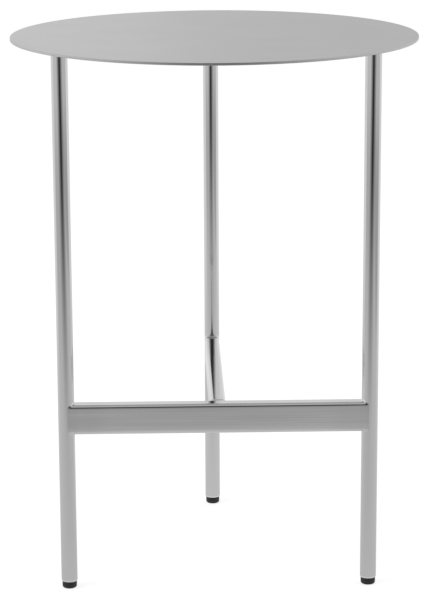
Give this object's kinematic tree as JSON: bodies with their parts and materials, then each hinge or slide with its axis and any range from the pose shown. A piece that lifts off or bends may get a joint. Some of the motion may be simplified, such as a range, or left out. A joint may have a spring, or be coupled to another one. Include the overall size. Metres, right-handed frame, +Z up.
{
  "type": "side table",
  "caption": "Round thin metal top on three round tube legs, tied low down by a T of rectangular tube; black push-in glides. Holds a lamp, cup or book beside a seat.",
  "frame": {"origin": "on the floor, under the middle of the round top", "axes": "+Z up; the two front legs are on the -Y side, the rear leg on the +Y side; +X to the right seen from the front"},
  "size_m": [0.3999, 0.4, 0.54],
  "materials": {
    "satin_steel": "fine satin grain, clear",
    "polished_steel": "polished tube",
    "polished_bar": "polished with faint lengthwise drawing marks",
    "black_plastic": "moulded, slightly soft sheen",
    "turned_steel": "as turned",
    "screw_steel": "black oxide"
  },
  "bodies": {
    "root": {"round_top": "satin_steel", "leg_tube_front_left": "polished_steel", "leg_tube_front_right": "polished_steel", "leg_tube_rear": "polished_steel", "front_stretcher": "polished_bar", "rear_stretcher": "polished_bar", "glide_front_left": "black_plastic", "glide_front_right": "black_plastic", "glide_rear": "black_plastic", "top_spigot_front_left": "turned_steel", "top_spigot_front_right": "turned_steel", "top_spigot_rear": "turned_steel", "grub_screw_front_left": "screw_steel", "grub_screw_front_right": "screw_steel", "grub_screw_rear": "screw_steel"}
  },
  "joints": []
}
